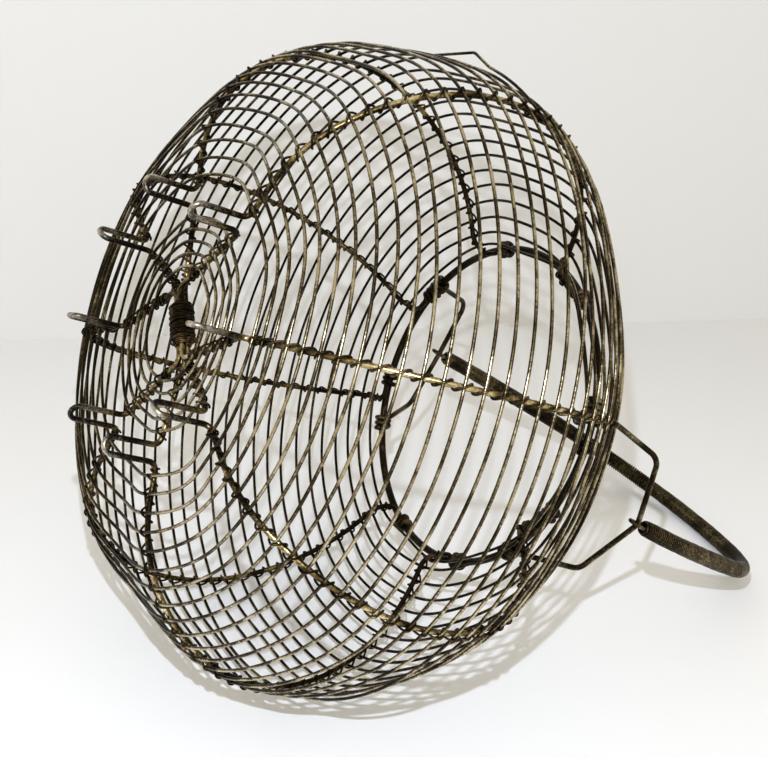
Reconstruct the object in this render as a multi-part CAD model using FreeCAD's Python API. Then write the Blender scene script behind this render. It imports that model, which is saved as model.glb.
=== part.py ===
import FreeCAD, Part
import math
import os

# A round-bellied wire basket for picking fruit, standing upright on its eight wire feet.
# Frame: +Z up along the basket's axis, origin on the ground at the axis, ears on the X axis.
# Millimetres and degrees throughout.

# Wire sizes
RIB_WIRE = 2.6
HOOP_WIRE = 1.5
RING_WIRE = 3.8
EAR_WIRE = 2.8
CORE_WIRE = 1.8
TIE_WIRE = 1.05

# Basket shell: the ribs' centreline, seen as radius and height
FLOOR_HEIGHT = 27.0
SHELL_START = 66.0
SHELL_STRAIGHT = 12.0
SHELL_BENDS = [(67.0, 37.0), (89.5, 50.0), (82.0, 81.0), (10.0, -58.0)]
SPAN_TURN = 16.0

# Ribs 1 to 8: direction of each at its foot and at the mouth
FOOT_AZIMUTH = [57.0, 15.0, -26.5, -77.0, -119.0, -161.0, -199.0, -252.0]
MOUTH_AZIMUTH = [56.0, 13.0, -26.0, -73.0, -110.0, -159.0, -200.5, -254.0]
RIB_PAIRS = [(8, 7), (1, 6), (2, 5), (3, 4)]
TURNS_WITH_AZIMUTH = (1, 2, 3, 7, 8)

# Feet: narrow hairpins bent down out of the rib wires
FOOT_INNER = 54.5
FOOT_OUTER = 62.0
FOOT_CORNER = 4.0
FOOT_WEAR = 0.2

# Hub: the four rib wires lie two by two under a bound wire wrap
HUB_DIRECTION = 38.5
HUB_HALF = 18.0
HUB_CORNER = 4.5
HUB_WRAP_HALF = 13.5
HUB_WRAP_WALL = 1.9

# Hoops
INNER_HOOP_RADII = [26.0, 31.7, 37.4, 43.0, 48.6]
OUTER_HOOPS = 33
FIRST_HOOP = 68.0
HOOP_PITCH = 8.03
KINKED_HOOP = 24
KINK_FROM = 72.0
KINK_TO = 92.0
KINK_RUN = 34.0
KINK_RETURN = 6.0

# Mouth ring and the rib ends hooked round it
RING_RADIUS = 82.0
RING_HEIGHT = 206.0
RIB_RUN = 9.0
RUN_CORNER = 3.0

# Ears, bent by hand: the left one (-1) is taller and leans out further than the right one (1)
EAR_SHIFT = -5.7
EAR_HALF_BASE = 39.0
EAR_HALF_TOP = 33.0
EAR_RISE_BACK = 38.5
EAR_RISE_FRONT = 29.8
EAR_PEAK = {1: 35.7, -1: 44.3}
EAR_LEAN = {1: 26.3, -1: 43.4}
EAR_CORNER = 7.0
EAR_HOOK_TURN = 250.0

# Bail
BAIL_LEAN = 10.8
BAIL_STRAIGHT = 24.0
BAIL_BENDS = [(62.0, 5.8), (414.0, 9.7)]
EYE_DROP = 4.3
EYE_GAP = 0.3
TUCK_OFFSET = 0.95
NECK_START = 2.4
NECK_END = 5.4
NECK_BEND = 1.7
TAIL_END = 19.0
COIL_START = 5.8
COIL_OUTER = 8.0
COIL_INNER = 4.6
PACKING_OUTER = 4.4

# Clearances between wires that lie on each other
TOUCH = 0.05
TIE_TOUCH = 0.14

X_AXIS = FreeCAD.Vector(1, 0, 0)
Z_AXIS = FreeCAD.Vector(0, 0, 1)


def vector(x, y, z):
    return FreeCAD.Vector(x, y, z)


def cosine(degrees):
    return math.cos(math.radians(degrees))


def sine(degrees):
    return math.sin(math.radians(degrees))


def tangent(degrees):
    return math.tan(math.radians(degrees))


def outward(azimuth):
    return vector(cosine(azimuth), sine(azimuth), 0)


def sideways(azimuth):
    return vector(-sine(azimuth), cosine(azimuth), 0)


# ---- Paths: lists of runs (two points) and arcs (three points), each tangent to the next ----


def rounded(points, radii):
    """Straight runs through the points, with each inner corner rounded."""
    path = []
    start = points[0]
    for before, corner, after, radius in zip(points, points[1:], points[2:], radii):
        back = (before - corner).normalize()
        ahead = (after - corner).normalize()
        half = back.getAngle(ahead) / 2
        reach = radius / math.tan(half)
        enter = corner + back * reach
        leave = corner + ahead * reach
        middle = corner + (back + ahead).normalize() * (radius / math.sin(half) - radius)
        if enter.distanceToPoint(start) > 1e-6:
            path.append((start, enter))
        path.append((enter, middle, leave))
        start = leave
    if start.distanceToPoint(points[-1]) > 1e-6:
        path.append((start, points[-1]))
    return path


def arc_between(start, apex, end):
    """The arc from start to end whose end tangents meet at apex, or a run if it is straight."""
    centre = (start + end) * 0.5
    rise = apex - centre
    half_chord = start.distanceToPoint(end) / 2
    if rise.Length < 1e-3:
        return (start, end)
    angle = math.atan(rise.Length / half_chord)
    sagitta = half_chord * math.tan(angle / 2)
    return (start, centre + rise * (sagitta / rise.Length), end)


def two_arcs(start, leaving, end, arriving):
    """Two arcs, tangent to each other and to both end directions."""
    span = end - start
    along = span.dot(leaving + arriving)
    bend = 2 * (1 - leaving.dot(arriving)) * span.dot(span)
    reach = span.dot(span) / (along + math.sqrt(along * along + bend))
    first = start + leaving * reach
    second = end - arriving * reach
    middle = (first + second) * 0.5
    return [arc_between(start, first, middle), arc_between(middle, second, end)]


def circle_arc(centre, across, up, radius, start, turn):
    """An arc in the plane of across and up, as two joined arcs, from angle start through turn."""
    point = [
        centre + across * (radius * cosine(start + turn * share)) + up * (radius * sine(start + turn * share))
        for share in (0, 0.25, 0.5, 0.75, 1)
    ]
    return [(point[0], point[1], point[2]), (point[2], point[3], point[4])]


def reverse(path):
    return [tuple(reversed(piece)) for piece in reversed(path)]


def mirror_x(path):
    return [tuple(vector(-p.x, p.y, p.z) for p in piece) for piece in path]


def make_edges(path):
    edges = []
    for piece in path:
        if len(piece) == 2:
            edges.append(Part.LineSegment(piece[0], piece[1]).toShape())
        else:
            edges.append(Part.Arc(piece[0], piece[1], piece[2]).toShape())
    return edges


def tube(path, diameter):
    """A round wire of the given diameter along the path."""
    spine = Part.Wire(make_edges(path))
    first = spine.OrderedEdges[0]
    start = first.valueAt(first.FirstParameter)
    heading = first.tangentAt(first.FirstParameter)
    if start.distanceToPoint(path[0][0]) > 1e-6:
        start = path[0][0]
        heading = first.tangentAt(first.LastParameter)
    section = Part.Wire([Part.Circle(start, heading, diameter / 2).toShape()])
    solid = spine.makePipeShell([section], True, False)
    expected = math.pi * diameter * diameter / 4 * spine.Length
    if not solid.isValid() or abs(solid.Volume / expected - 1) > 0.003:
        raise ValueError("wire sweep is off: %g of %g" % (solid.Volume, expected))
    return solid


# ---- Shell: the surface that the ribs follow ----


def shell_pieces():
    """Each piece as length and signed radius, where radius 0 is straight."""
    bends = [(radius * math.radians(abs(turn)), math.copysign(radius, turn)) for radius, turn in SHELL_BENDS]
    return [(SHELL_STRAIGHT, 0.0)] + bends


def shell_length():
    return sum(length for length, radius in shell_pieces())


def shell_at(distance):
    """Radius, height and heading of the shell, distance counted from the axis along the floor."""
    radius = SHELL_START
    height = FLOOR_HEIGHT
    heading = 0.0
    left = distance - SHELL_START
    for length, bend in shell_pieces():
        step = min(left, length)
        if bend == 0.0:
            radius += step
        else:
            turned = heading + math.degrees(step / bend)
            radius += bend * (sine(turned) - sine(heading))
            height += bend * (cosine(heading) - cosine(turned))
            heading = turned
        left -= step
        if left <= 1e-9:
            break
    return radius, height, heading


def rib_point(rib, distance):
    """Point and direction of a rib on the shell. It drifts sideways on its way to the mouth."""
    radius, height, heading = shell_at(distance)
    share = (distance - SHELL_START) / shell_length()
    drift = MOUTH_AZIMUTH[rib - 1] - FOOT_AZIMUTH[rib - 1]
    azimuth = FOOT_AZIMUTH[rib - 1] + drift * share * share * (3 - 2 * share)
    side_slope = radius * math.radians(drift) * 6 * share * (1 - share) / shell_length()
    place = outward(azimuth) * radius + Z_AXIS * height
    direction = outward(azimuth) * cosine(heading) + sideways(azimuth) * side_slope + Z_AXIS * sine(heading)
    return place, direction.normalize()


def shell_stations():
    stations = [SHELL_START]
    for length, bend in shell_pieces():
        spans = 1
        if bend != 0.0:
            spans = math.ceil(math.degrees(length / abs(bend)) / SPAN_TURN)
        start = stations[-1]
        stations += [start + length * (i + 1) / spans for i in range(spans)]
    return stations


# ---- Ribs ----


def hub_corner(rib):
    """Where a rib's wire leaves the hub: outer wires below, inner wires above."""
    end = 1 if rib in (8, 1, 2, 3) else -1
    side = 1 if rib in (8, 1, 7, 6) else -1
    layer = 1 if rib in (1, 2, 5, 6) else 0
    spacing = RIB_WIRE + TOUCH
    return (
        outward(HUB_DIRECTION) * (end * HUB_HALF)
        + sideways(HUB_DIRECTION) * (side * spacing / 2)
        + Z_AXIS * (FLOOR_HEIGHT + layer * spacing)
    )


def foot_point(rib, radius, height):
    return outward(FOOT_AZIMUTH[rib - 1]) * radius + Z_AXIS * height


def rib_end(rib):
    """From the shell's end: up to the mouth ring, sideways beneath it, then hooked round it."""
    place, direction = rib_point(rib, SHELL_START + shell_length())
    hook_radius = (RING_WIRE + RIB_WIRE) / 2 + TOUCH
    run_height = RING_HEIGHT - hook_radius
    corner = place + direction * ((run_height - place.z) / direction.z)
    corner_radius = math.hypot(corner.x, corner.y)
    swing = math.degrees(math.asin(RIB_RUN / corner_radius))
    if rib not in TURNS_WITH_AZIMUTH:
        swing = -swing
    out = outward(math.degrees(math.atan2(corner.y, corner.x)) + swing)
    bend = out * (corner_radius * cosine(swing)) + Z_AXIS * run_height
    turn = RING_RADIUS - corner_radius * cosine(swing)
    path = rounded([place, corner, bend, bend + out * turn], [RUN_CORNER, turn])
    centre = out * RING_RADIUS + Z_AXIS * RING_HEIGHT
    return path + circle_arc(centre, out, Z_AXIS, hook_radius, -90, 270)


def rib_half(rib):
    """Half of a rib wire, from the middle of the hub to its hook on the mouth ring."""
    corner = hub_corner(rib)
    middle = corner - outward(HUB_DIRECTION) * corner.dot(outward(HUB_DIRECTION))
    low = RIB_WIRE / 2 - FOOT_WEAR
    tip = (FOOT_OUTER - FOOT_INNER) / 2
    points = [
        middle,
        corner,
        foot_point(rib, FOOT_INNER, FLOOR_HEIGHT),
        foot_point(rib, FOOT_INNER, low),
        foot_point(rib, FOOT_OUTER, low),
        foot_point(rib, FOOT_OUTER, FLOOR_HEIGHT),
        foot_point(rib, SHELL_START, FLOOR_HEIGHT),
    ]
    path = rounded(points, [HUB_CORNER, FOOT_CORNER, tip, tip, FOOT_CORNER])
    stations = shell_stations()
    for start, end in zip(stations, stations[1:]):
        here, leaving = rib_point(rib, start)
        there, arriving = rib_point(rib, end)
        path += two_arcs(here, leaving, there, arriving)
    return path + rib_end(rib)


def make_rib_wire(pair):
    wire = tube(reverse(rib_half(pair[0])) + rib_half(pair[1]), RIB_WIRE)
    ground = Part.makeBox(400, 400, 10, vector(-200, -200, -10))
    return wire.cut(ground)


def make_hub_wrap():
    """The bound wrap round the four wires, as a squared sleeve with rounded edges."""
    spacing = RIB_WIRE + TOUCH
    inner = spacing + RIB_WIRE + 2 * TOUCH
    outer = inner + 2 * HUB_WRAP_WALL
    blocks = []
    for size, radius in ((outer, RIB_WIRE / 2 + HUB_WRAP_WALL), (inner, RIB_WIRE / 2)):
        block = Part.makeBox(2 * HUB_WRAP_HALF, size, size, vector(-HUB_WRAP_HALF, -size / 2, -size / 2))
        long_edges = [e for e in block.Edges if abs(e.Length - 2 * HUB_WRAP_HALF) < 1e-6]
        blocks.append(block.makeFillet(radius, long_edges))
    sleeve = blocks[0].cut(blocks[1])
    sleeve.rotate(vector(0, 0, 0), Z_AXIS, HUB_DIRECTION)
    sleeve.translate(vector(0, 0, FLOOR_HEIGHT + spacing / 2))
    return sleeve


# ---- Hoops ----


def hoop_offset():
    return (RIB_WIRE + HOOP_WIRE) / 2 + TOUCH


def hoop_place(number):
    """Radius and height of a hoop's centreline. Hoops are numbered from the hub outwards."""
    inner = len(INNER_HOOP_RADII)
    if number <= inner:
        return INNER_HOOP_RADII[number - 1], FLOOR_HEIGHT - hoop_offset()
    radius, height, heading = shell_at(hoop_distance(number))
    return radius + hoop_offset() * sine(heading), height - hoop_offset() * cosine(heading)


def hoop_distance(number):
    return FIRST_HOOP + HOOP_PITCH * (number - len(INNER_HOOP_RADII) - 1)


def make_hoop(number):
    radius, height = hoop_place(number)
    centre = Z_AXIS * height
    if number != KINKED_HOOP:
        return Part.makeTorus(radius, HOOP_WIRE / 2, centre, Z_AXIS)
    start = centre + outward(KINK_FROM) * radius
    end = centre + outward(KINK_TO) * radius
    points = [
        start,
        start + sideways(KINK_FROM) * KINK_RUN,
        end - sideways(KINK_TO) * KINK_RETURN,
        end,
    ]
    path = rounded(points, [6.0, 8.0])
    path += circle_arc(centre, outward(0), outward(90), radius, KINK_TO, 360 - KINK_TO + KINK_FROM)
    return tube(path, HOOP_WIRE)


# ---- Binding wires ----


def make_tie(rib_place, rib_direction, hoop_point, hoop_direction):
    """One slanted turn of binding wire round a rib and the hoop that crosses it."""
    normal = hoop_point - rib_place
    low = -RIB_WIRE / 2
    high = normal.Length + HOOP_WIRE / 2
    radius = (high - low) / 2 + TIE_WIRE / 2 + 2 * TIE_TOUCH
    normal.normalize()
    hand = math.copysign(1, rib_direction.dot(hoop_direction))
    axis = (rib_direction + hoop_direction * hand).normalize()
    return Part.makeTorus(radius, TIE_WIRE / 2, rib_place + normal * ((low + high) / 2), axis)


def floor_crossing(rib, radius):
    """Where the straight part of a rib between hub and foot passes a given radius."""
    start = hub_corner(rib)
    end = foot_point(rib, FOOT_INNER, FLOOR_HEIGHT)
    step = end - start
    flat_start = vector(start.x, start.y, 0)
    flat_step = vector(step.x, step.y, 0)
    a = flat_step.dot(flat_step)
    b = 2 * flat_start.dot(flat_step)
    c = flat_start.dot(flat_start) - radius * radius
    share = (-b + math.sqrt(b * b - 4 * a * c)) / (2 * a)
    return start + step * share, step.normalize()


def make_binding(rib):
    ties = []
    for number in range(1, hoop_count() + 1):
        if number <= len(INNER_HOOP_RADII):
            place, direction = floor_crossing(rib, hoop_place(number)[0])
            crossing = vector(place.x, place.y, hoop_place(number)[1])
        else:
            place, direction = rib_point(rib, hoop_distance(number))
            azimuth = math.degrees(math.atan2(place.y, place.x))
            radius, height = hoop_place(number)
            crossing = outward(azimuth) * radius + Z_AXIS * height
        azimuth = math.degrees(math.atan2(place.y, place.x))
        ties.append(make_tie(place, direction, crossing, sideways(azimuth)))
    return Part.makeCompound(ties)


def hoop_count():
    return len(INNER_HOOP_RADII) + OUTER_HOOPS


# ---- Mouth ring and ears ----


def make_mouth_ring():
    return Part.makeTorus(RING_RADIUS, RING_WIRE / 2, Z_AXIS * RING_HEIGHT, Z_AXIS)


def ear_point(side, across, rise):
    """A point of an ear's leaning plane, drawn on the right. side picks the ear."""
    chord = math.sqrt(RING_RADIUS * RING_RADIUS - EAR_HALF_BASE * EAR_HALF_BASE)
    lean = EAR_LEAN[side]
    return vector(chord + rise * sine(lean), EAR_SHIFT + across, RING_HEIGHT + rise * cosine(lean))


def ear_corners(side):
    """The ear's back corner, its peak and its front corner."""
    return [
        ear_point(side, EAR_HALF_TOP, EAR_RISE_BACK),
        ear_point(side, 0, EAR_PEAK[side]),
        ear_point(side, -EAR_HALF_TOP, EAR_RISE_FRONT),
    ]


def ear_hook(end):
    """The ear's end: down the outer side of the mouth ring and round beneath it."""
    hook_radius = (RING_WIRE + EAR_WIRE) / 2 + TOUCH
    y = EAR_SHIFT + end * EAR_HALF_BASE
    azimuth = math.degrees(math.asin(y / RING_RADIUS))
    out = outward(azimuth)
    centre = out * RING_RADIUS + Z_AXIS * RING_HEIGHT
    start = centre + out * hook_radius
    return start, circle_arc(centre, out, Z_AXIS, hook_radius, 0, -EAR_HOOK_TURN)


def make_ear(side):
    back, back_hook = ear_hook(1)
    front, front_hook = ear_hook(-1)
    lead = Z_AXIS * 5
    points = [back, back + lead] + ear_corners(side) + [front + lead, front]
    path = reverse(back_hook) + rounded(points, [EAR_CORNER] * 5) + front_hook
    if side < 0:
        path = mirror_x(path)
    return tube(path, EAR_WIRE)


# ---- Bail ----


def pivot(side):
    """Centre of the ear wire at its rounded peak, where the bail's eye hangs."""
    before, corner, after = ear_corners(side)
    back = (before - corner).normalize()
    ahead = (after - corner).normalize()
    drop = EAR_CORNER * (1 / math.sin(back.getAngle(ahead) / 2) - 1)
    place = corner + (back + ahead).normalize() * drop
    return vector(side * place.x, place.y, place.z)


def half_span():
    return (pivot(1).x - pivot(-1).x) / 2


def bail_arch():
    """The right half of the arch, from the end of its straight part to the top, drawn upright."""
    x = half_span()
    z = BAIL_STRAIGHT
    heading = 90.0
    used = 0.0
    turned = 0.0
    for radius, turn in BAIL_BENDS:
        used += radius * (cosine(turned) - cosine(turned + turn))
        turned += turn
    bends = BAIL_BENDS + [((x - used) / cosine(turned), 90.0 - turned)]
    path = []
    for radius, turn in bends:
        points = []
        for share in (0, 0.5, 1):
            angle = heading + turn * share
            points.append(
                vector(
                    x + radius * (sine(angle) - sine(heading)),
                    0,
                    z + radius * (cosine(heading) - cosine(angle)),
                )
            )
        path.append(tuple(points))
        x, z = points[-1].x, points[-1].z
        heading += turn
    return path


def bail_end():
    """The right end of the core wire: a long eye round the ear wire, its tail tucked back."""
    x = half_span()
    half = (EAR_WIRE + CORE_WIRE) / 2 + EYE_GAP
    points = [
        vector(x - TUCK_OFFSET, 0, TAIL_END),
        vector(x - TUCK_OFFSET, 0, NECK_END),
        vector(x - half, 0, NECK_START),
        vector(x - half, 0, -EYE_DROP),
        vector(x + half, 0, -EYE_DROP),
        vector(x + half, 0, NECK_START),
        vector(x + TUCK_OFFSET, 0, NECK_END),
        vector(x + TUCK_OFFSET, 0, 15.0),
        vector(x, 0, 21.0),
        vector(x, 0, BAIL_STRAIGHT),
    ]
    return rounded(points, [NECK_BEND, NECK_BEND, half, half, NECK_BEND, NECK_BEND, 8.0, 8.0])


def lean_bail(shape):
    """Moves a shape drawn round the origin to the ears and leans it to its resting tilt."""
    shape.rotate(vector(0, 0, 0), X_AXIS, BAIL_LEAN)
    right = pivot(1)
    left = pivot(-1)
    shape.translate((right + left) * 0.5)
    return shape


def make_bail_core():
    half = bail_end() + bail_arch()
    return lean_bail(tube(half + reverse(mirror_x(half)), CORE_WIRE))


def make_sleeve(half, outer, inner):
    path = half + reverse(mirror_x(half))
    return lean_bail(tube(path, outer).cut(tube(path, inner)))


def make_grip_packing():
    return make_sleeve(bail_arch(), PACKING_OUTER, CORE_WIRE + 2 * TOUCH)


def make_grip_coil():
    x = half_span()
    straight = [(vector(x, 0, COIL_START), vector(x, 0, BAIL_STRAIGHT))]
    return make_sleeve(straight + bail_arch(), COIL_OUTER, COIL_INNER)


# ---- Everything, one node at a time ----


def build_nodes():
    nodes = {}
    for index, pair in enumerate(RIB_PAIRS):
        nodes["rib_wire_%d" % (index + 1)] = make_rib_wire(pair)
    nodes["hub_wrap"] = make_hub_wrap()
    for number in range(1, hoop_count() + 1):
        nodes["hoop_%02d" % number] = make_hoop(number)
    for rib in range(1, 9):
        nodes["binding_%d" % rib] = make_binding(rib)
    nodes["mouth_ring"] = make_mouth_ring()
    nodes["ear_right"] = make_ear(1)
    nodes["ear_left"] = make_ear(-1)
    nodes["bail_core"] = make_bail_core()
    nodes["grip_packing"] = make_grip_packing()
    nodes["grip_coil"] = make_grip_coil()
    return nodes


os.makedirs("parts", exist_ok=True)
for name, shape in build_nodes().items():
    shape.exportStep("parts/%s.step" % name)
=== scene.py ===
import math
import random

import bpy
import numpy as np
from mathutils import Matrix, Vector


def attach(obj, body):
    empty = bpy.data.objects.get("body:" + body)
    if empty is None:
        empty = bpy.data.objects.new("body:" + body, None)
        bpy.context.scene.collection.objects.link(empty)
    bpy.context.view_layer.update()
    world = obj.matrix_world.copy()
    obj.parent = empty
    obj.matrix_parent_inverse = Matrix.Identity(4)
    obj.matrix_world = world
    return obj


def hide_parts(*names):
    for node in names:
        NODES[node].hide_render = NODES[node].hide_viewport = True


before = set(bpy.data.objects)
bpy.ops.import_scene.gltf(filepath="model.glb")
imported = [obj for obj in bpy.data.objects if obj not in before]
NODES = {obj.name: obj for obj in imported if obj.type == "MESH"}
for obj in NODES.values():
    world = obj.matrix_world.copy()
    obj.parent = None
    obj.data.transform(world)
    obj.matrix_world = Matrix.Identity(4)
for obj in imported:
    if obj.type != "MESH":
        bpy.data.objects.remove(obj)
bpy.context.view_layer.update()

# Sizes in millimetres, as the frame was drawn
MM = 0.001
RIB_WIRE = 2.6
HOOP_WIRE = 1.5
RING_WIRE = 3.8
EAR_WIRE = 2.8
TIE_WIRE = 1.05
TOUCH = 0.05
TIE_GAP = 0.06
TURN_STEPS = 28

# The ribs' outline from the feet to the mouth: runs as (length, 0), bends as (radius, turn in degrees)
FLOOR_HEIGHT = 27.0
SHELL_START = 66.0
SHELL_PIECES = [(12.0, 0.0), (67.0, 37.0), (89.5, 50.0), (82.0, 81.0), (10.0, -58.0)]
FOOT_AZIMUTH = [57.0, 15.0, -26.5, -77.0, -119.0, -161.0, -199.0, -252.0]
MOUTH_AZIMUTH = [56.0, 13.0, -26.0, -73.0, -110.0, -159.0, -200.5, -254.0]
FOOT_INNER = 54.5

# The hub: direction of its wires, half its length, and the winding round it
HUB_DIRECTION = 38.5
HUB_HALF = 18.0
HUB_WRAP_HALF = 13.5
HUB_WRAP_WALL = 1.9
HUB_BARE_ENDS = 5.0
HUB_LAYER_SHORTER = 2.4

# Hoops and the wires that tie them. Distances run along the ribs, counted from the axis
INNER_HOOP_RADII = [26.0, 31.7, 37.4, 43.0, 48.6]
OUTER_HOOPS = 33
FIRST_HOOP = 68.0
HOOP_PITCH = 8.03
TURN_BEFORE = 2.4
TURN_AFTER = 2.6
KINKED_HOOP = 24
KINK_FROM = 72.0
KINK_TO = 92.0
KINK_RUN = 34.0
KINK_RETURN = 6.0
# How far the hoops are flattened in each of the eight gaps between ribs, and how much that varies
SPAN_PULL = [-1.0, -5.0, -2.5, 0.5, -2.5, -4.0, 0.0, 0.0]
PULL_VARIES = (-0.9, 0.4)
SLIP_VARIES = (-0.8, 0.8)

# The mouth ring, and how far each rib runs along it before its hook
RING_RADIUS = 82.0
RING_HEIGHT = 206.0
RIB_RUN = 9.0
KNOB_STEPS = 38
TURNS_WITH_AZIMUTH = (1, 2, 3, 7, 8)

# The ears, drawn on the right. 1 is the right one, -1 the left one
EAR_SHIFT = -5.7
EAR_HALF_BASE = 39.0
EAR_HALF_TOP = 33.0
EAR_RISE_BACK = 38.5
EAR_RISE_FRONT = 29.8
EAR_PEAK = {1: 35.7, -1: 44.3}
EAR_LEAN = {1: 26.3, -1: 43.4}
EAR_CORNER = 7.0
EAR_LEAD = 5.0
EAR_TURNS = 2.3

# The bail: its lean at rest, and bends of its right half as (radius, turn in degrees)
BAIL_LEAN = 10.8
BAIL_STRAIGHT = 24.0
BAIL_BENDS = [(62.0, 5.8), (414.0, 9.7)]
COIL_START = 5.0
COIL_WIRE = 1.45
COIL_PITCH = 1.50
COIL_STEPS = 20
# Radius of the coil's line at the eyes, and how much it grows over how long a stretch
COIL_REACH = 2.50
COIL_SHOULDER = (0.8, 1.8)
COIL_SWELL = (0.35, 60.0)

# How the eye sees the basket: it lies on its side, so the eye and the ground are tilted to it
EYE = (-527.0, 169.7, -259.5)
EYE_DOWN = (-0.4390, -0.8747, 0.2053)
EYE_AHEAD = (0.7702, -0.2486, 0.5873)
LENS = 65.48
SENSOR = 36.0
GROUND_NORMAL = (0.0117, 0.9173, -0.3981)
GROUND_LEVEL = -195.1
WALL_DISTANCE = 965.5
WALL_YAW = 13.5
WALL_HALF_WIDTH = 1600.0
WALL_TALL = 1500.0
FLOOR_DEPTH = 2600.0
# Painted shade: the floor's colour is darkened from this distance ahead of the eye to the wall, by this
# factor, where the flash's light falls off.
FAR_SHADE_FROM = 620.0
FLOOR_FAR_SHADE = 0.87
FLOOR_COLOUR = (0.91, 0.915, 0.93)
WALL_COLOUR = (0.79, 0.79, 0.79)
UPRIGHT_HALF = 1500.0

# Lamps: place in millimetres, watts, size in metres, colour. The flash sits just above the eye
FLASH = ((-460.0, 258.0, -282.0), 3.8, 0.011, (0.78, 0.86, 1.0))
UPRIGHT_LAMP = ((-500.0, -700.0, 1500.0), 4.0, 0.7, (0.95, 0.97, 1.0))
ROOM_COLOUR = (1.0, 0.925, 0.77)
ROOM_STRENGTH = 0.82
MIDDLE_HEIGHT = 110.0

UP = np.array([0.0, 0.0, 1.0])


# ---- Directions and paths ----


def cosine(degrees):
    return math.cos(math.radians(degrees))


def sine(degrees):
    return math.sin(math.radians(degrees))


def outward(azimuth):
    return np.array([cosine(azimuth), sine(azimuth), 0.0])


def sideways(azimuth):
    return np.array([-sine(azimuth), cosine(azimuth), 0.0])


def unit(vector):
    return vector / np.linalg.norm(vector)


def rounded(corners, radii, step=0.8):
    """Points along straight runs whose inner corners are rounded."""
    points = [corners[0]]
    for before, corner, after, radius in zip(corners, corners[1:], corners[2:], radii):
        back = unit(before - corner)
        ahead = unit(after - corner)
        half = math.acos(max(-1.0, min(1.0, float(back @ ahead)))) / 2
        reach = radius / math.tan(half)
        centre = corner + unit(back + ahead) * (radius / math.sin(half))
        first = corner + back * reach - centre
        turn = math.pi - 2 * half
        third = unit(np.cross(np.cross(first, ahead), first)) * radius
        count = max(3, int(turn * radius / step) + 2)
        for index in range(count + 1):
            angle = turn * index / count
            points.append(centre + first * math.cos(angle) + third * math.sin(angle))
    points.append(corners[-1])
    return refined(points, step * 3)


def refined(points, step):
    """The same line with its long runs divided."""
    result = [points[0]]
    for start, end in zip(points, points[1:]):
        length = np.linalg.norm(end - start)
        if length < 1e-6:
            continue
        count = max(1, math.ceil(length / step))
        result += [start + (end - start) * (i + 1) / count for i in range(count)]
    return result


# ---- Wires as meshes ----


def frames_along(points, closed):
    """Two cross directions at each point, with no twist along the way."""
    count = len(points)
    if closed:
        tangents = np.roll(points, -1, axis=0) - np.roll(points, 1, axis=0)
    else:
        tangents = np.gradient(points, axis=0)
    tangents /= np.linalg.norm(tangents, axis=1)[:, None]
    guide = UP if abs(tangents[0][2]) < 0.8 else np.array([1.0, 0.0, 0.0])
    normal = unit(np.cross(tangents[0], guide))
    normals = np.empty_like(points)
    for index in range(count):
        normal = unit(normal - tangents[index] * (normal @ tangents[index]))
        normals[index] = normal
    if closed:
        last = unit(normal - tangents[0] * (normal @ tangents[0]))
        side = np.cross(tangents[0], normals[0])
        twist = math.atan2(float(last @ side), float(last @ normals[0]))
        angles = -twist * np.arange(count) / count
        sides = np.cross(tangents, normals)
        normals = normals * np.cos(angles)[:, None] + sides * np.sin(angles)[:, None]
    return normals, np.cross(tangents, normals)


def rounded_ends(points, radii):
    """Adds two short shrinking steps at each end, so that a cut wire ends in a dome."""
    first = unit(points[0] - points[1])
    last = unit(points[-1] - points[-2])
    steps = ((0.45, 0.86), (0.72, 0.45))
    head = [points[0] + first * radii[0] * reach for reach, share in reversed(steps)]
    tail = [points[-1] + last * radii[-1] * reach for reach, share in steps]
    shares = [share for reach, share in steps]
    head_radii = [radii[0] * share for share in reversed(shares)]
    tail_radii = [radii[-1] * share for share in shares]
    return np.array(head + list(points) + tail), np.array(head_radii + list(radii) + tail_radii)


def wire(name, points, diameter, sides=8, closed=False):
    """A round wire through the points, in millimetres. diameter is one number or one for each point."""
    points = np.array(points, dtype=float)
    radii = np.full(len(points), 0.5) * np.asarray(diameter, dtype=float)
    if not closed:
        points, radii = rounded_ends(points, radii)
    normals, others = frames_along(points, closed)
    angles = (np.arange(sides) * 2 * math.pi / sides)[None, :, None]
    ring = np.cos(angles) * normals[:, None, :] + np.sin(angles) * others[:, None, :]
    vertices = (points[:, None, :] + ring * radii[:, None, None]).reshape(-1, 3) * MM
    count = len(points)
    rows = np.arange(count if closed else count - 1)
    columns = np.arange(sides)
    here = rows[:, None] * sides
    there = ((rows[:, None] + 1) % count) * sides
    after = (columns + 1) % sides
    quads = np.stack([here + columns, here + after, there + after, there + columns], axis=-1).reshape(-1, 4)
    faces = quads.tolist()
    if not closed:
        faces.append(list(range(sides))[::-1])
        faces.append([(count - 1) * sides + index for index in range(sides)])
    mesh = bpy.data.meshes.new(name)
    mesh.from_pydata(vertices.tolist(), [], faces)
    mesh.polygons.foreach_set("use_smooth", [True] * len(faces))
    mesh.update()
    item = bpy.data.objects.new(name, mesh)
    bpy.context.scene.collection.objects.link(item)
    return item


def finish_piece(item, material, body, slot_name, *nodes):
    item.data.materials.append(material)
    if nodes:
        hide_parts(*nodes)
    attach(item, body)


# ---- The shell that the ribs follow ----


def shell_length():
    return sum(size if turn == 0.0 else size * math.radians(abs(turn)) for size, turn in SHELL_PIECES)


def shell_at(distance):
    """Radius, height and heading of the ribs' surface, distance counted from the axis."""
    radius = SHELL_START
    height = FLOOR_HEIGHT
    heading = 0.0
    left = distance - SHELL_START
    for size, turn in SHELL_PIECES:
        length = size if turn == 0.0 else size * math.radians(abs(turn))
        step = min(left, length)
        if turn == 0.0:
            radius += step
        else:
            bend = math.copysign(size, turn)
            turned = heading + math.degrees(step / bend)
            radius += bend * (sine(turned) - sine(heading))
            height += bend * (cosine(heading) - cosine(turned))
            heading = turned
        left -= step
        if left <= 1e-9:
            break
    return radius, height, heading


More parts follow.
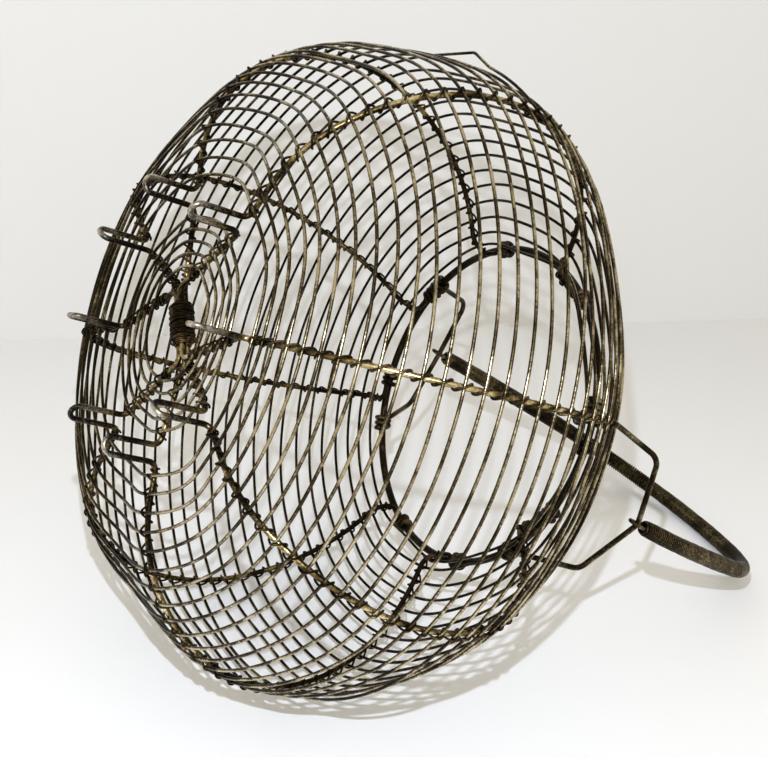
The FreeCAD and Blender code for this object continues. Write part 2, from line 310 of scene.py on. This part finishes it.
def rib_azimuth(rib, distance):
    share = max(0.0, (distance - SHELL_START) / shell_length())
    drift = MOUTH_AZIMUTH[rib - 1] - FOOT_AZIMUTH[rib - 1]
    return FOOT_AZIMUTH[rib - 1] + drift * share * share * (3 - 2 * share)


def hoop_offset():
    return (RIB_WIRE + HOOP_WIRE) / 2 + TOUCH


def hoop_count():
    return len(INNER_HOOP_RADII) + OUTER_HOOPS


def hoop_distance(number):
    return FIRST_HOOP + HOOP_PITCH * (number - len(INNER_HOOP_RADII) - 1)


def hoop_place(number):
    if number <= len(INNER_HOOP_RADII):
        return INNER_HOOP_RADII[number - 1], FLOOR_HEIGHT - hoop_offset(), 0.0
    radius, height, heading = shell_at(hoop_distance(number))
    return radius + hoop_offset() * sine(heading), height - hoop_offset() * cosine(heading), heading


def hub_corner(rib):
    """Where a rib's wire leaves the hub: outer wires below, inner wires above."""
    end = 1 if rib in (8, 1, 2, 3) else -1
    side = 1 if rib in (8, 1, 7, 6) else -1
    layer = 1 if rib in (1, 2, 5, 6) else 0
    spacing = RIB_WIRE + TOUCH
    flat = outward(HUB_DIRECTION) * (end * HUB_HALF) + sideways(HUB_DIRECTION) * (side * spacing / 2)
    return flat + UP * (FLOOR_HEIGHT + layer * spacing)


# ---- Hoops ----


def make_hoops(material):
    """Each hoop is pulled a little flat between the ribs it is tied to, and isn't quite level."""
    chance = random.Random(11)
    for number in range(1, hoop_count() + 1):
        radius, height, heading = hoop_place(number)
        distance = max(SHELL_START, hoop_distance(number))
        knots = sorted(rib_azimuth(rib, distance) % 360 for rib in range(1, 9))
        size = min(1.0, radius / 90.0)
        spans = []
        for pull in SPAN_PULL:
            pull += chance.uniform(*PULL_VARIES)
            slip = chance.uniform(*SLIP_VARIES)
            spans.append((pull * size, slip * size))
        points = []
        for index, (knot, (pull, slip)) in enumerate(zip(knots, spans)):
            width = (knots[(index + 1) % len(knots)] - knot) % 360
            steps = max(8, int(width / 2.0))
            for step in range(steps):
                share = step / steps
                azimuth = knot + width * share
                wave = math.sin(math.pi * share) ** 2
                away = radius + (pull * sine(heading) + slip * cosine(heading)) * wave
                level = height + (slip * sine(heading) - pull * cosine(heading)) * wave
                points.append(outward(azimuth) * away + UP * level)
        if number == KINKED_HOOP:
            points = kinked(points, radius, height)
        name = "hoop_%02d" % number
        hoop = wire("wire_" + name, points, HOOP_WIRE, sides=8, closed=True)
        finish_piece(hoop, material, "basket", "hoop_wire", name)


def kinked(points, radius, height):
    """The hoop with one stretch bent out past its neighbours."""
    centre = UP * height
    start = centre + outward(KINK_FROM) * radius
    end = centre + outward(KINK_TO) * radius
    corners = [start, start + sideways(KINK_FROM) * KINK_RUN, end - sideways(KINK_TO) * KINK_RETURN, end]
    bump = rounded(corners, [6.0, 8.0])
    kept = []
    for point in points:
        azimuth = math.degrees(math.atan2(point[1], point[0]))
        if not KINK_FROM - 1.5 <= azimuth <= KINK_TO + 1.5:
            kept.append((azimuth - KINK_TO) % 360)
    order = sorted(range(len(kept)), key=lambda i: kept[i])
    around = [centre + outward(KINK_TO + kept[i]) * radius for i in order]
    return bump + around


# ---- Binding wires ----


def binding_turns(stations, place_at, before_hoops, after_hoops):
    """One wire wound along a rib: a turn over each hoop, and a few close turns before and after the hoops."""
    points = []
    low = (RIB_WIRE + TIE_WIRE) / 2 + TIE_GAP
    high = RIB_WIRE / 2 + TOUCH + HOOP_WIRE + TIE_WIRE / 2 + TIE_GAP
    steps = 20
    for index, station in enumerate(stations):
        before = stations[index - 1] if index else station - (stations[1] - station)
        after = stations[index + 1] if index + 1 < len(stations) else station + (station - before)
        for step in range(steps):
            share = step / steps - 0.5
            angle = 2 * math.pi * share
            pitch = (after - station) if share > 0 else (station - before)
            along = station + pitch * (share + 0.85 * math.sin(angle) / (2 * math.pi))
            centre, heading, normal = place_at(along)
            side = np.cross(normal, heading)
            over_hoop = before_hoops <= index < len(stations) - after_hoops
            reach = low + (high - low) * max(0.0, math.cos(angle)) ** 2 if over_hoop else low
            points.append(centre + normal * (reach * math.cos(angle)) + side * (low * math.sin(angle)))
    return points


def shell_frame(rib):
    def place_at(distance):
        radius, height, slope = shell_at(max(SHELL_START, distance))
        azimuth = rib_azimuth(rib, distance)
        centre = outward(azimuth) * radius + UP * height
        if distance < SHELL_START:
            centre = centre + outward(azimuth) * (distance - SHELL_START)
        heading = outward(azimuth) * cosine(slope) + UP * sine(slope)
        normal = outward(azimuth) * sine(slope) - UP * cosine(slope)
        centre = centre + heading * max(0.0, distance - SHELL_START - shell_length())
        return centre, heading, normal

    return place_at


def floor_frame(rib):
    start = hub_corner(rib)
    end = outward(FOOT_AZIMUTH[rib - 1]) * FOOT_INNER + UP * FLOOR_HEIGHT
    heading = unit(end - start)
    normal = unit(-UP + heading * heading[2])

    def place_at(distance):
        return start + heading * distance, heading, normal

    return place_at, start, end


def floor_stations(start, end):
    """Distances along the rib's run across the floor at which the inner hoops cross it."""
    step = end - start
    stations = []
    for radius in INNER_HOOP_RADII:
        a = step[0] ** 2 + step[1] ** 2
        b = 2 * (start[0] * step[0] + start[1] * step[1])
        c = start[0] ** 2 + start[1] ** 2 - radius ** 2
        share = (-b + math.sqrt(b * b - 4 * a * c)) / (2 * a)
        stations.append(share * np.linalg.norm(step))
    return stations


def make_bindings(material):
    for rib in range(1, 9):
        place_at, start, end = floor_frame(rib)
        stations = floor_stations(start, end)
        gap = stations[1] - stations[0]
        stations = [stations[0] - gap * share for share in (0.8, 0.4)] + stations
        inner = binding_turns(stations, place_at, 2, 0)
        outer_stations = [hoop_distance(n) for n in range(len(INNER_HOOP_RADII) + 1, hoop_count() + 1)]
        outer_stations = [outer_stations[0] - TURN_BEFORE] + outer_stations
        outer_stations += [outer_stations[-1] + TURN_AFTER]
        outer = binding_turns(outer_stations, shell_frame(rib), 1, 1)
        name = "binding_%d" % rib
        long_wire = wire("winding_%d" % rib, outer, TIE_WIRE, sides=7)
        short_wire = wire("winding_%d_floor" % rib, inner, TIE_WIRE, sides=7)
        finish_piece(long_wire, material, "basket", "binding_wire", name)
        finish_piece(short_wire, material, "basket", "binding_wire")


def make_hub_winding(material):
    """Three layers of turns round the four wires at the hub, each shorter and looser than the last."""
    spacing = RIB_WIRE + TOUCH
    thick = HUB_WRAP_WALL / 2
    along = outward(HUB_DIRECTION)
    across = sideways(HUB_DIRECTION)
    middle = UP * (FLOOR_HEIGHT + spacing / 2)
    points = []
    for layer, direction in ((0, 1), (1, -1), (2, 1)):
        half = (spacing + RIB_WIRE) / 2 + thick * (0.5 + 0.96 * layer)
        length = 2 * HUB_WRAP_HALF - HUB_BARE_ENDS - HUB_LAYER_SHORTER * layer
        turns = int(length / (thick * 1.05))
        for index in range(turns * TURN_STEPS + 1):
            turn = index / TURN_STEPS
            angle = 2 * math.pi * turn
            squareness = (abs(math.cos(angle)) ** 4 + abs(math.sin(angle)) ** 4) ** -0.25
            wobble = (0.10 + 0.16 * layer) * math.sin(turn * 2.3) + 0.12 * math.sin(turn * 0.71 + layer)
            reach = half * min(squareness, 1.08) * 0.97 + wobble * 0.6
            shift = direction * (length * turn / turns - length / 2) + wobble * 0.9 * math.sin(angle + turn)
            point = middle + along * shift
            points.append(point + across * (reach * math.cos(angle)) + UP * (reach * math.sin(angle)))
    winding = wire("hub_winding", points, thick, sides=7)
    finish_piece(winding, material, "basket", "binding_wire", "hub_wrap")


# ---- Rib ends at the mouth ----


def make_rim_knobs(material):
    """Past its hook each rib's end goes once more round the mouth ring, into a small knob."""
    hook_radius = (RING_WIRE + RIB_WIRE) / 2 + TOUCH
    swing = math.degrees(RIB_RUN / RING_RADIUS)
    for rib, azimuth in enumerate(MOUTH_AZIMUTH, 1):
        hand = 1 if rib in TURNS_WITH_AZIMUTH else -1
        points = []
        for index in range(KNOB_STEPS):
            turn = index / TURN_STEPS
            shift = RIB_WIRE * (min(1.0, turn * 4) + max(0.0, turn - 0.25)) * 1.04
            here = azimuth + hand * (swing + math.degrees(shift / RING_RADIUS))
            angle = math.pi * (1 + 2 * turn)
            reach = outward(here) * math.cos(angle) + UP * math.sin(angle)
            points.append(outward(here) * RING_RADIUS + UP * RING_HEIGHT + reach * hook_radius)
        knob = wire("rim_knob_%d" % rib, points, RIB_WIRE, sides=10)
        finish_piece(knob, material, "basket", "rib_wire")


# ---- Ears ----


def ear_point(side, across, rise):
    """A point of an ear's leaning plane, drawn on the right. side picks the ear."""
    chord = math.sqrt(RING_RADIUS * RING_RADIUS - EAR_HALF_BASE * EAR_HALF_BASE)
    lean = EAR_LEAN[side]
    return np.array([chord + rise * sine(lean), EAR_SHIFT + across, RING_HEIGHT + rise * cosine(lean)])


def ear_corners(side):
    return [
        ear_point(side, EAR_HALF_TOP, EAR_RISE_BACK),
        ear_point(side, 0, EAR_PEAK[side]),
        ear_point(side, -EAR_HALF_TOP, EAR_RISE_FRONT),
    ]


def ring_coil(end, hook_radius):
    """Close turns round the mouth ring from its outer side, walking along the ring."""
    azimuth = math.degrees(math.asin((EAR_SHIFT + end * EAR_HALF_BASE) / RING_RADIUS))
    points = []
    pitch = EAR_WIRE * 1.02
    count = int(EAR_TURNS * TURN_STEPS)
    for index in range(count + 1):
        share = index / TURN_STEPS
        here = azimuth + math.degrees(pitch * share * end / RING_RADIUS)
        centre = outward(here) * RING_RADIUS + UP * RING_HEIGHT
        angle = -2 * math.pi * share
        reach = outward(here) * math.cos(angle) + UP * math.sin(angle)
        points.append(centre + reach * hook_radius)
    return points


def make_ear(side, material):
    hook_radius = (RING_WIRE + EAR_WIRE) / 2 + TOUCH
    first = ring_coil(1, hook_radius)
    last = ring_coil(-1, hook_radius)
    lead = UP * EAR_LEAD
    corners = [first[0], first[0] + lead] + ear_corners(side) + [last[0] + lead, last[0]]
    points = first[::-1] + rounded(corners, [EAR_CORNER] * 5)[1:-1] + last
    points = [point * np.array([side, 1.0, 1.0]) for point in points]
    name = "ear_right" if side > 0 else "ear_left"
    ear = wire("wire_" + name, points, EAR_WIRE, sides=12)
    finish_piece(ear, material, "basket", "ear_wire", name)


# ---- Bail ----


def pivot(side):
    """Centre of the ear wire at its rounded peak, where the bail's eye hangs."""
    before, corner, after = ear_corners(side)
    back = unit(before - corner)
    ahead = unit(after - corner)
    drop = EAR_CORNER * (1 / math.sin(math.acos(float(back @ ahead)) / 2) - 1)
    return (corner + unit(back + ahead) * drop) * np.array([side, 1.0, 1.0])


def arch_points(step=0.5):
    """The right half of the bail drawn upright, from the coil's start to the top."""
    x = (pivot(1)[0] - pivot(-1)[0]) / 2
    z = BAIL_STRAIGHT
    heading = 90.0
    used = 0.0
    turned = 0.0
    for radius, turn in BAIL_BENDS:
        used += radius * (cosine(turned) - cosine(turned + turn))
        turned += turn
    bends = BAIL_BENDS + [((x - used) / cosine(turned), 90.0 - turned)]
    count = int((BAIL_STRAIGHT - COIL_START) / step)
    points = [np.array([x, 0.0, COIL_START + (BAIL_STRAIGHT - COIL_START) * i / count]) for i in range(count)]
    for radius, turn in bends:
        count = int(radius * math.radians(turn) / step)
        for index in range(count):
            angle = heading + turn * index / count
            sideways_run = radius * (sine(angle) - sine(heading))
            upward_run = radius * (cosine(heading) - cosine(angle))
            points.append(np.array([x + sideways_run, 0.0, z + upward_run]))
        x += radius * (sine(heading + turn) - sine(heading))
        z += radius * (cosine(heading) - cosine(heading + turn))
        heading += turn
    points.append(np.array([x, 0.0, z]))
    return points


def lean(point):
    """A point of the upright bail, turned to its rest pose about the line between the ears."""
    x, y, z = point
    leaned_y = cosine(BAIL_LEAN) * y - sine(BAIL_LEAN) * z
    leaned_z = sine(BAIL_LEAN) * y + cosine(BAIL_LEAN) * z
    return np.array([x, leaned_y, leaned_z]) + (pivot(1) + pivot(-1)) / 2


def make_grip(material):
    """The grip's fine close coil, thin at the eyes and fuller over its packing."""
    half = arch_points()
    line = half + [point * np.array([-1.0, 1.0, 1.0]) for point in reversed(half[:-1])]
    line = np.array(line)
    lengths = np.concatenate([[0.0], np.cumsum(np.linalg.norm(np.diff(line, axis=0), axis=1))])
    whole = lengths[-1]
    last_step = int(whole / COIL_PITCH) * COIL_STEPS
    points = []
    for index in range(last_step + 1):
        along = whole * index / last_step
        place = np.array([np.interp(along, lengths, line[:, axis]) for axis in range(3)])
        ahead = np.array([np.interp(along + 0.5, lengths, line[:, axis]) for axis in range(3)])
        behind = np.array([np.interp(along - 0.5, lengths, line[:, axis]) for axis in range(3)])
        heading = unit(ahead - behind)
        side = np.array([0.0, 1.0, 0.0])
        other = np.cross(heading, side)
        near_end = min(along, whole - along)
        body = COIL_REACH
        for growth, stretch in (COIL_SHOULDER, COIL_SWELL):
            body += growth * min(1.0, near_end / stretch)
        lump = 0.05 * math.sin(along * 0.21) + 0.04 * math.sin(along * 0.67 + 1.0)
        angle = 2 * math.pi * index / COIL_STEPS
        reach = body + lump
        points.append(lean(place + side * (reach * math.cos(angle)) + other * (reach * math.sin(angle))))
    coil = wire("grip_winding", points, COIL_WIRE, sides=8)
    finish_piece(coil, material, "bail", "grip_wire", "grip_coil")


# ---- Materials ----


def node(tree, kind, **values):
    item = tree.nodes.new(kind)
    for key, value in values.items():
        setattr(item, key, value)
    return item


def noise(tree, place, scale, detail, roughness):
    item = node(tree, "ShaderNodeTexNoise")
    item.inputs["Scale"].default_value = scale
    item.inputs["Detail"].default_value = detail
    item.inputs["Roughness"].default_value = roughness
    tree.links.new(place.outputs["Object"], item.inputs["Vector"])
    return item.outputs["Fac"]


def mapped(tree, value, from_range, to_range):
    """The value, moved from one range to the other and held within it."""
    item = node(tree, "ShaderNodeMapRange")
    item.inputs["From Min"].default_value, item.inputs["From Max"].default_value = from_range
    item.inputs["To Min"].default_value, item.inputs["To Max"].default_value = to_range
    tree.links.new(value, item.inputs["Value"])
    return item.outputs["Result"]


def calculated(tree, operation, *values):
    """A sum or product of sockets and plain numbers."""
    item = node(tree, "ShaderNodeMath", operation=operation)
    for socket, value in zip(item.inputs, values):
        if isinstance(value, float):
            socket.default_value = value
        else:
            tree.links.new(value, socket)
    return item


def outer_wear_and_highlight(tree, place, wear_and_highlight):
    """How far the surface faces away from the middle of the basket, as an amount of wear plus a painted
    highlight on the outward faces.
    """
    away = node(tree, "ShaderNodeVectorMath", operation="SUBTRACT")
    away.inputs[1].default_value = (0.0, 0.0, MIDDLE_HEIGHT * MM)
    tree.links.new(place.outputs["Object"], away.inputs[0])
    direction = node(tree, "ShaderNodeVectorMath", operation="NORMALIZE")
    tree.links.new(away.outputs["Vector"], direction.inputs[0])
    geometry = node(tree, "ShaderNodeNewGeometry")
    outer = node(tree, "ShaderNodeVectorMath", operation="DOT_PRODUCT")
    tree.links.new(geometry.outputs["Normal"], outer.inputs[0])
    tree.links.new(direction.outputs["Vector"], outer.inputs[1])
    return mapped(tree, outer.outputs["Value"], (-0.2, 1.0), (0.0, wear_and_highlight))


def height_zones(tree, height, zones):
    """A value between -0.5 and 0.5 that follows height, from pairs of height in millimetres and level."""
    top = zones[-1][0]
    ramp = node(tree, "ShaderNodeValToRGB")
    stops = ramp.color_ramp.elements
    for index, (level_height, level) in enumerate(zones):
        stop = stops[index] if index < 2 else stops.new(1.0)
        stop.position = level_height / top
        stop.color = (level, level, level, 1.0)
    tree.links.new(mapped(tree, height, (0.0, top * MM), (0.0, 1.0)), ramp.inputs["Fac"])
    return calculated(tree, "SUBTRACT", ramp.outputs["Color"], 0.5).outputs["Value"]


def bare_and_highlight_ramp(tree, amount, dark, middle, bright):
    """Colour from dark patina through the middle tone to bare metal, whose bright end also shows as painted
    highlight where the outer side is lifted.
    """
    ramp = node(tree, "ShaderNodeValToRGB")
    stops = ramp.color_ramp.elements
    stops[0].position = 0.0
    stops[0].color = (*dark, 1.0)
    stops[1].position = 1.0
    stops[1].color = (*bright, 1.0)
    stops.new(0.45).color = (*middle, 1.0)
    tree.links.new(amount, ramp.inputs["Fac"])
    return ramp.outputs["Color"]


def greyed_tips(tree, height, colour):
    """The same colour, greyer on the feet's tips."""
    tint = node(tree, "ShaderNodeHueSaturation")
    tree.links.new(mapped(tree, height, (8 * MM, 22 * MM), (0.45, 1.0)), tint.inputs["Saturation"])
    tree.links.new(colour, tint.inputs["Color"])
    return tint.outputs["Color"]


def wire_metal(name, dark, middle, bright, rust, roughness, rust_amount, wear_and_highlight, mottle, zones):
    """Tarnished drawn wire: dark patina, worn bare on the outer side and lightened there by a painted
    highlight, with rust spots and fine scratches.
    """
    material = bpy.data.materials.new(name)
    material.use_nodes = True
    tree = material.node_tree
    tree.nodes.clear()
    output = node(tree, "ShaderNodeOutputMaterial")
    shader = node(tree, "ShaderNodeBsdfPrincipled")
    tree.links.new(shader.outputs["BSDF"], output.inputs["Surface"])
    place = node(tree, "ShaderNodeTexCoord")
    fine = noise(tree, place, 900.0, 4.0, 0.7)
    patch = mapped(tree, noise(tree, place, 55.0, 5.0, 0.62), (0.38, 0.62), (-0.35 * mottle, 0.45 * mottle))
    speck = mapped(tree, fine, (0.35, 0.65), (-0.25, 0.25))
    rust_spots = noise(tree, place, 120.0, 6.0, 0.7)
    # Outward faces are lifted towards the bare tone: partly wear, partly a painted highlight where the near
    # side faces the lamp.
    bare_and_highlight = calculated(tree, "ADD", outer_wear_and_highlight(tree, place, wear_and_highlight), patch).outputs["Value"]
    if zones:
        split = node(tree, "ShaderNodeSeparateXYZ")
        tree.links.new(place.outputs["Object"], split.inputs["Vector"])
        shift = height_zones(tree, split.outputs["Z"], zones)
        bare_and_highlight = calculated(tree, "ADD", bare_and_highlight, shift).outputs["Value"]
        rust_spots = calculated(tree, "MULTIPLY_ADD", shift, -0.16, rust_spots).outputs["Value"]
    speckled = calculated(tree, "ADD", bare_and_highlight, speck)
    speckled.use_clamp = True
    bare_and_highlight = speckled.outputs["Value"]

    rust_start = 0.66 - 0.3 * rust_amount
    rusty = mapped(tree, rust_spots, (rust_start, rust_start + 0.12), (0.0, 0.85))
    mix = node(tree, "ShaderNodeMix", data_type="RGBA")
    tree.links.new(rusty, mix.inputs["Factor"])
    tree.links.new(bare_and_highlight_ramp(tree, bare_and_highlight, dark, middle, bright), mix.inputs[6])
    mix.inputs[7].default_value = (*rust, 1.0)
    colour = mix.outputs[2]
    if zones:
        colour = greyed_tips(tree, split.outputs["Z"], colour)
    tree.links.new(colour, shader.inputs["Base Color"])
    tree.links.new(mapped(tree, rusty, (0.0, 1.0), (1.0, 0.25)), shader.inputs["Metallic"])

    polished = mapped(tree, bare_and_highlight, (0.0, 1.0), (roughness + 0.16, roughness - 0.06))
    rougher = calculated(tree, "MULTIPLY_ADD", rusty, 0.45, polished)
    rougher.use_clamp = True
    tree.links.new(rougher.outputs["Value"], shader.inputs["Roughness"])

    bump = node(tree, "ShaderNodeBump")
    bump.inputs["Strength"].default_value = 0.35
    bump.inputs["Distance"].default_value = 0.0001
    tree.links.new(fine, bump.inputs["Height"])
    tree.links.new(bump.outputs["Normal"], shader.inputs["Normal"])
    return material


def make_materials():
    rust = (0.090, 0.048, 0.018)
    rib_zones = [(0, 0.46), (12, 0.36), (20, 0.28), (32, 0.24), (50, 0.5), (145, 0.5), (185, 0.2), (220, 0.1)]
    hoop_zones = [(0, 0.5), (20, 0.42), (32, 0.42), (60, 0.5), (140, 0.5), (185, 0.3), (220, 0.2)]
    dark = (0.012, 0.008, 0.0035)
    # Middle tone, bare and highlight tone, roughness, amount of rust, wear and painted highlight on the outer
    # side, mottling, tones by height
    finishes = {
        "rib": ((0.19, 0.133, 0.050), (0.76, 0.62, 0.34), 0.30, 0.16, 0.66, 1.0, rib_zones),
        "hoop": ((0.080, 0.058, 0.026), (0.54, 0.455, 0.285), 0.27, 0.08, 0.64, 1.0, hoop_zones),
        "tie": ((0.065, 0.043, 0.018), (0.32, 0.24, 0.12), 0.35, 0.18, 0.42, 1.0, rib_zones),
        "hub": ((0.075, 0.046, 0.018), (0.28, 0.19, 0.085), 0.40, 0.24, 0.32, 1.0, None),
        "ring": ((0.024, 0.018, 0.009), (0.14, 0.11, 0.06), 0.36, 0.10, 0.30, 1.0, None),
        "ear": ((0.070, 0.054, 0.029), (0.36, 0.31, 0.20), 0.32, 0.10, 0.50, 1.0, None),
        "core": ((0.090, 0.070, 0.036), (0.46, 0.40, 0.26), 0.32, 0.08, 0.50, 1.0, None),
        "grip": ((0.125, 0.096, 0.047), (0.64, 0.55, 0.34), 0.28, 0.06, 0.50, 0.5, None),
    }
    metals = {}
    for key, (middle, bare_and_highlight, *finish) in finishes.items():
        metals[key] = wire_metal(key + "_patina_and_highlight", dark, middle, bare_and_highlight, rust, *finish)
    return metals


def dress_nodes(materials):
    """The CAD parts whose shape already shows get their finish."""
    dress = {"mouth_ring": "ring", "bail_core": "core", "grip_packing": "core"}
    for index in range(1, 5):
        dress["rib_wire_%d" % index] = "rib"
    for name, key in dress.items():
        data = NODES[name].data
        data.materials.clear()
        data.materials.append(materials[key])
        data.polygons.foreach_set("use_smooth", [True] * len(data.polygons))


# ---- Ground, wall, light and eye ----


def plain(name, colour, roughness, far_shade=1.0):
    """A matt paper-like surface that doesn't show from behind, its colour darkened towards its far side by
    the given factor as painted shade.
    """
    material = bpy.data.materials.new(name)
    material.use_nodes = True
    tree = material.node_tree
    tree.nodes.clear()
    output = node(tree, "ShaderNodeOutputMaterial")
    shader = node(tree, "ShaderNodeBsdfPrincipled")
    shader.inputs["Roughness"].default_value = roughness
    grain = node(tree, "ShaderNodeTexNoise")
    grain.inputs["Scale"].default_value = 6.0
    place = node(tree, "ShaderNodeTexCoord")
    tree.links.new(place.outputs["Object"], grain.inputs["Vector"])
    tone = node(tree, "ShaderNodeMix", data_type="RGBA")
    tone.inputs[6].default_value = (*[value * 0.985 for value in colour], 1.0)
    tone.inputs[7].default_value = (*colour, 1.0)
    tree.links.new(grain.outputs["Fac"], tone.inputs["Factor"])
    ahead = ground_axes()[1]
    distance = node(tree, "ShaderNodeVectorMath", operation="DOT_PRODUCT")
    distance.inputs[1].default_value = tuple(float(value) for value in ahead)
    tree.links.new(place.outputs["Object"], distance.inputs[0])
    eye = float(np.array(EYE) @ ahead)
    reach = ((eye + FAR_SHADE_FROM) * MM, (eye + WALL_DISTANCE) * MM)
    # Painted shade: the colour is scaled darker towards the far side, where the lamp's light falls off.
    greyed = node(tree, "ShaderNodeVectorMath", operation="SCALE")
    tree.links.new(tone.outputs[2], greyed.inputs[0])
    tree.links.new(mapped(tree, distance.outputs["Value"], reach, (1.0, far_shade)), greyed.inputs["Scale"])
    tree.links.new(greyed.outputs["Vector"], shader.inputs["Base Color"])
    geometry = node(tree, "ShaderNodeNewGeometry")
    clear = node(tree, "ShaderNodeBsdfTransparent")
    mix = node(tree, "ShaderNodeMixShader")
    tree.links.new(geometry.outputs["Backfacing"], mix.inputs["Fac"])
    tree.links.new(shader.outputs["BSDF"], mix.inputs[1])
    tree.links.new(clear.outputs["BSDF"], mix.inputs[2])
    tree.links.new(mix.outputs["Shader"], output.inputs["Surface"])
    return material


def panel(name, corners, material):
    mesh = bpy.data.meshes.new(name)
    mesh.from_pydata([tuple(float(v) for v in corner * MM) for corner in corners], [], [[0, 1, 2, 3]])
    mesh.materials.append(material)
    item = bpy.data.objects.new(name, mesh)
    bpy.context.scene.collection.objects.link(item)
    return item


def ground_axes():
    up = unit(np.array(GROUND_NORMAL))
    ahead = np.array(EYE_AHEAD)
    ahead = unit(ahead - up * (ahead @ up))
    right = np.cross(ahead, up)
    foot = np.array(EYE) - up * (np.array(EYE) @ up - GROUND_LEVEL)
    return up, ahead, right, foot


def make_stage():
    up, ahead, right, foot = ground_axes()
    yaw_right = right * cosine(WALL_YAW) + ahead * sine(WALL_YAW)
    middle = foot + ahead * WALL_DISTANCE
    left_end = middle - yaw_right * WALL_HALF_WIDTH
    right_end = middle + yaw_right * WALL_HALF_WIDTH
    near_left = left_end - ahead * FLOOR_DEPTH
    near_right = right_end - ahead * FLOOR_DEPTH
    tall = up * WALL_TALL
    floor_paper = plain("floor_paper", FLOOR_COLOUR, 0.6, FLOOR_FAR_SHADE)
    wall_paper = plain("wall_paper", WALL_COLOUR, 0.8)
    upright_paper = plain("upright_paper", FLOOR_COLOUR, 0.6)
    panel("photo_floor", [near_left, near_right, right_end, left_end], floor_paper)
    panel("photo_wall", [left_end, right_end, right_end + tall, left_end + tall], wall_paper)
    level = [np.array([x, y, 0.0]) * UPRIGHT_HALF for x, y in ((-1, -1), (1, -1), (1, 1), (-1, 1))]
    upright = panel("upright_floor", level, upright_paper)
    upright.visible_shadow = False
    upright.visible_diffuse = False
    upright.visible_glossy = False


def aim(item, place, target):
    direction = Vector(target - place)
    item.rotation_euler = direction.to_track_quat("-Z", "Y").to_euler()
    item.location = Vector(place * MM)


def make_lamp(name, place, power, size, colour):
    data = bpy.data.lights.new(name, "AREA")
    data.energy = power
    data.shape = "DISK"
    data.size = size
    data.color = colour
    item = bpy.data.objects.new(name, data)
    bpy.context.scene.collection.objects.link(item)
    aim(item, np.array(place), UP * MIDDLE_HEIGHT)


def make_lights():
    make_lamp("flash", *FLASH)
    make_lamp("upright_light", *UPRIGHT_LAMP)
    world = bpy.data.worlds.new("studio")
    bpy.context.scene.world = world
    world.use_nodes = True
    background = world.node_tree.nodes["Background"]
    background.inputs["Color"].default_value = (*ROOM_COLOUR, 1.0)
    background.inputs["Strength"].default_value = ROOM_STRENGTH


def make_camera():
    data = bpy.data.cameras.new("camera")
    data.sensor_width = SENSOR
    data.sensor_fit = "HORIZONTAL"
    data.lens = LENS
    data.clip_start = 0.01
    data.clip_end = 50.0
    item = bpy.data.objects.new("camera", data)
    bpy.context.scene.collection.objects.link(item)
    ahead = unit(np.array(EYE_AHEAD))
    down = unit(np.array(EYE_DOWN) - ahead * (np.array(EYE_DOWN) @ ahead))
    right = np.cross(down, ahead)
    turn = Matrix((right, -down, -ahead)).transposed().to_4x4()
    item.matrix_world = Matrix.Translation(Vector(np.array(EYE) * MM)) @ turn
    bpy.context.scene.camera = item


# ---- Everything ----

make_camera()
make_stage()
make_lights()
METALS = make_materials()
dress_nodes(METALS)
make_hoops(METALS["hoop"])
make_bindings(METALS["tie"])
make_hub_winding(METALS["hub"])
make_rim_knobs(METALS["tie"])
make_ear(1, METALS["ear"])
make_ear(-1, METALS["ear"])
make_grip(METALS["grip"])

bpy.context.scene.view_settings.view_transform = "Standard"
bpy.context.view_layer.update()
